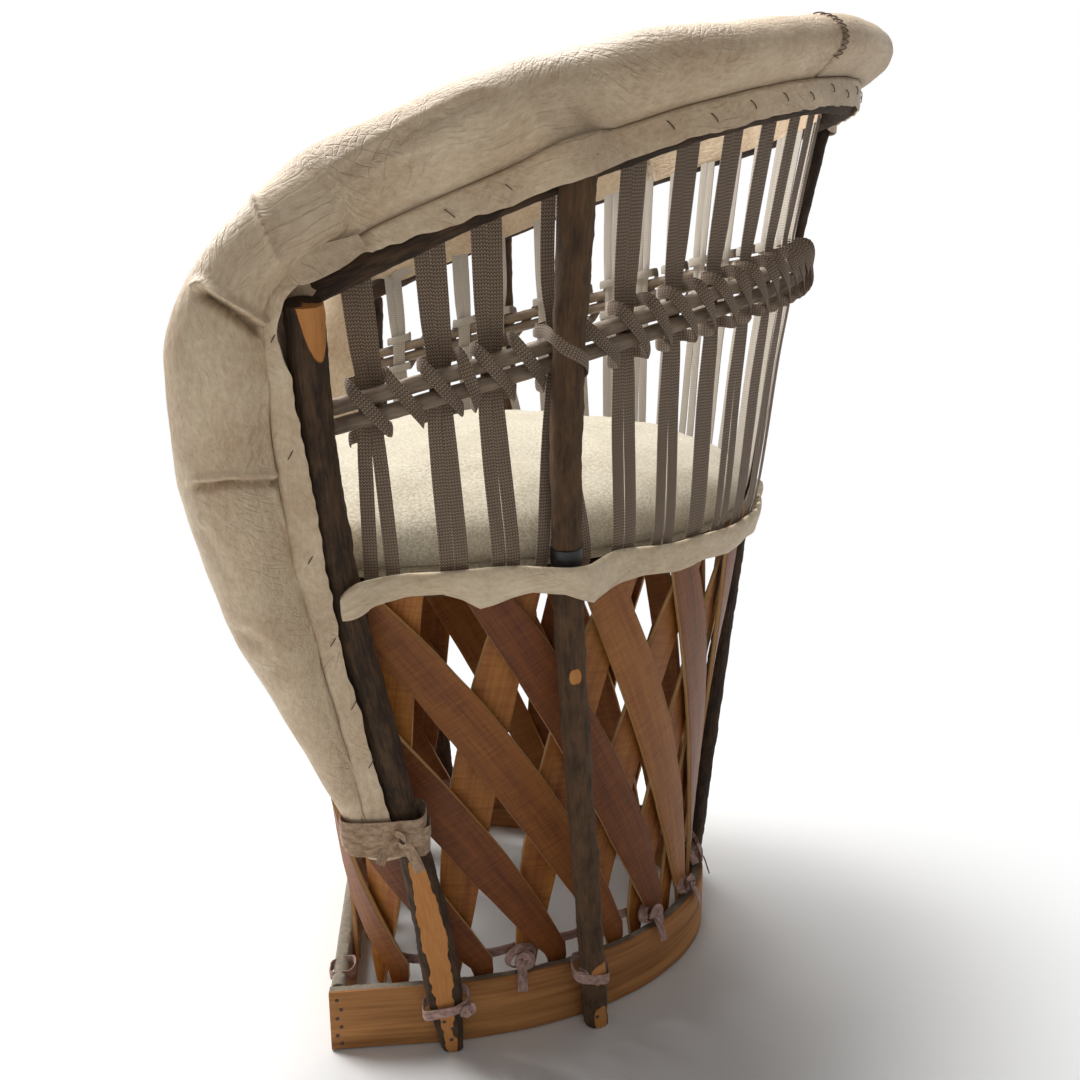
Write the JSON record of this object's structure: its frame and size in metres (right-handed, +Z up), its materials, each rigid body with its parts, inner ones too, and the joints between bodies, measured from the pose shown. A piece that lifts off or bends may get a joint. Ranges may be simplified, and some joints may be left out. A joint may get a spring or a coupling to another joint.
{
  "type": "equipale chair",
  "caption": "Barrel armchair: crossing wooden splints on a bent board base, hide seat, webbing back between bark-covered posts, padded leather arm roll.",
  "frame": {"origin": "on the floor under the middle of the whole chair", "axes": "+Z up, the sitter faces -Y, the sitter's left is +X"},
  "size_m": [0.7388, 0.526, 0.8033],
  "materials": {
    "board_wood": "planed board with bark left on one edge",
    "splint_wood": "split and stained, satin",
    "splint_wood_pale": "split and stained, satin, a lighter tone",
    "bark_wood": "round sticks with the bark on",
    "roll_leather": "soft creased leather over padding, satin",
    "trim_leather": "flat leather strip, satin",
    "seat_hide": "stretched suede hide, matte",
    "tie_suede": "suede, matte",
    "woven_tape": "woven tape, matte",
    "lace_hide": "thin hide lace, matte"
  },
  "bodies": {
    "root": {"base_hoop": "board_wood", "front_cross_board": "board_wood", "splint_outer_1": "splint_wood", "splint_inner_1": "splint_wood_pale", "splint_outer_2": "splint_wood", "splint_inner_2": "splint_wood_pale", "splint_outer_3": "splint_wood", "splint_inner_3": "splint_wood_pale", "splint_outer_4": "splint_wood", "splint_inner_4": "splint_wood_pale", "splint_outer_5": "splint_wood", "splint_inner_5": "splint_wood_pale", "splint_outer_6": "splint_wood", "splint_inner_6": "splint_wood_pale", "splint_outer_7": "splint_wood", "splint_inner_7": "splint_wood_pale", "splint_outer_8": "splint_wood", "splint_inner_8": "splint_wood_pale", "splint_outer_9": "splint_wood", "splint_inner_9": "splint_wood_pale", "splint_outer_10": "splint_wood", "splint_inner_10": "splint_wood_pale", "splint_outer_11": "splint_wood", "splint_inner_11": "splint_wood_pale", "splint_outer_12": "splint_wood", "splint_inner_12": "splint_wood_pale", "splint_outer_13": "splint_wood", "splint_inner_13": "splint_wood_pale", "splint_outer_14": "splint_wood", "splint_inner_14": "splint_wood_pale", "splint_outer_15": "splint_wood", "splint_inner_15": "splint_wood_pale", "splint_outer_16": "splint_wood", "splint_inner_16": "splint_wood_pale", "splint_outer_17": "splint_wood", "splint_inner_17": "splint_wood_pale", "splint_outer_18": "splint_wood", "splint_inner_18": "splint_wood_pale", "front_post_left": "bark_wood", "side_post_left": "bark_wood", "suede_tie_left": "tie_suede", "front_post_right": "bark_wood", "side_post_right": "bark_wood", "suede_tie_right": "tie_suede", "rear_post": "bark_wood", "seat_ring": "bark_wood", "seat_pad": "seat_hide", "seat_rim_band": "trim_leather", "top_hoop": "bark_wood", "rail_lower": "bark_wood", "rail_upper": "bark_wood", "webbing_left": "woven_tape", "webbing_rear": "woven_tape", "webbing_right": "woven_tape", "lashing_left": "woven_tape", "lashing_right": "woven_tape", "arm_roll": "roll_leather", "arm_flange": "trim_leather", "base_lace": "lace_hide"}
  },
  "joints": []
}
